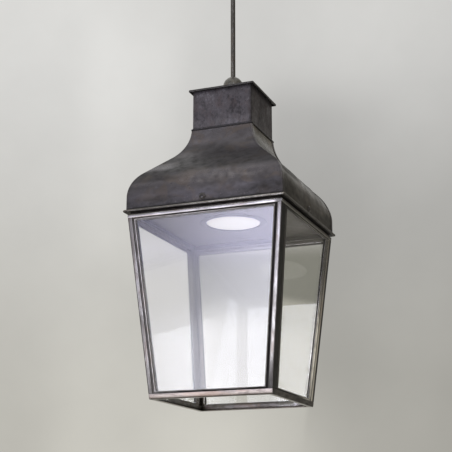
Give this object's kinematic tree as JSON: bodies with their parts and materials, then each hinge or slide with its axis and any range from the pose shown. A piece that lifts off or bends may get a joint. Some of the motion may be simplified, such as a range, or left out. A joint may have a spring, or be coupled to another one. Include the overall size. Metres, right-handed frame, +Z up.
{
  "type": "pendant lantern",
  "caption": "Square tapered glazed lantern with an ogee roof and chimney, hung on a rigid rod from a ceiling swivel, open at the foot, lit by a disc lamp.",
  "frame": {"origin": "centre of the ceiling fixing, on the ceiling's face; the lantern hangs below it", "axes": "+Z up along the hanging rod, -Y towards the lantern's front, +X to the right seen from the front"},
  "size_m": [0.336, 0.336, 0.9652],
  "materials": {
    "aged_bronze": "dark hand-aged bronze patina with purple-brown mottling",
    "worn_bronze": "aged bronze rubbed bright along its edges",
    "raw_brass": "plain brass, unseen inside",
    "clear_glass": "clear flat glass",
    "diffuser": "frosted opal, glowing when lit",
    "lamp_metal": "satin",
    "bright_steel": "zinc-plated",
    "holder_ceramic": "unglazed steatite",
    "terminal_plastic": "moulded",
    "seal_rubber": "black glazing seal"
  },
  "bodies": {
    "ceiling_mount": {"ceiling_bracket": "bright_steel", "swivel_socket": "worn_bronze", "socket_ring_nut": "worn_bronze", "ceiling_rose": "aged_bronze", "terminal_block": "terminal_plastic", "earth_screw": "raw_brass"},
    "swivel": {"swivel_pins": "bright_steel"},
    "lantern": {"swivel_ball": "worn_bronze", "suspension_rod": "aged_bronze", "dome_cap": "aged_bronze", "rod_nuts": "bright_steel", "rod_washers": "bright_steel", "chimney_lid": "aged_bronze", "chimney_box": "aged_bronze", "chimney_bead": "worn_bronze", "hanger_plate": "raw_brass", "roof_front": "aged_bronze", "roof_back": "aged_bronze", "roof_left": "aged_bronze", "roof_right": "aged_bronze", "drip_ledge": "worn_bronze", "roof_curb": "aged_bronze", "roof_screws": "worn_bronze", "reflector_plate": "aged_bronze", "trim_ring": "aged_bronze", "lamp_bracket": "bright_steel", "lamp_holder": "holder_ceramic", "holder_screws": "bright_steel", "post_front_left": "worn_bronze", "post_front_right": "worn_bronze", "post_back_left": "worn_bronze", "post_back_right": "worn_bronze", "top_rail_front": "worn_bronze", "top_rail_back": "worn_bronze", "top_rail_left": "worn_bronze", "top_rail_right": "worn_bronze", "foot_rail_front": "worn_bronze", "foot_rail_back": "worn_bronze", "foot_rail_left": "worn_bronze", "foot_rail_right": "worn_bronze", "glazing_front": "worn_bronze", "glazing_back": "worn_bronze", "glazing_left": "worn_bronze", "glazing_right": "worn_bronze", "glass_front": "clear_glass", "glass_back": "clear_glass", "glass_left": "clear_glass", "glass_right": "clear_glass", "seal_front": "seal_rubber", "seal_back": "seal_rubber", "seal_left": "seal_rubber", "seal_right": "seal_rubber"},
    "lamp": {"lamp_body": "lamp_metal", "lamp_diffuser": "diffuser", "lamp_pins": "bright_steel"}
  },
  "joints": [
    {"name": "swivel_side_tilt", "type": "hinge", "parent": "ceiling_mount", "child": "swivel", "pos_m": [0, 0, -0.0265], "axis": [0, 1, 0], "range_deg": [-12, 12]},
    {"name": "swivel_front_tilt", "type": "hinge", "parent": "swivel", "child": "lantern", "pos_m": [0, 0, -0.0265], "axis": [1, 0, 0], "range_deg": [-12, 12]},
    {"name": "lamp_twist", "type": "hinge", "parent": "lantern", "child": "lamp", "pos_m": [0, 0, -0.54], "axis": [0, 0, 1], "range_deg": [-20, 0]}
  ]
}
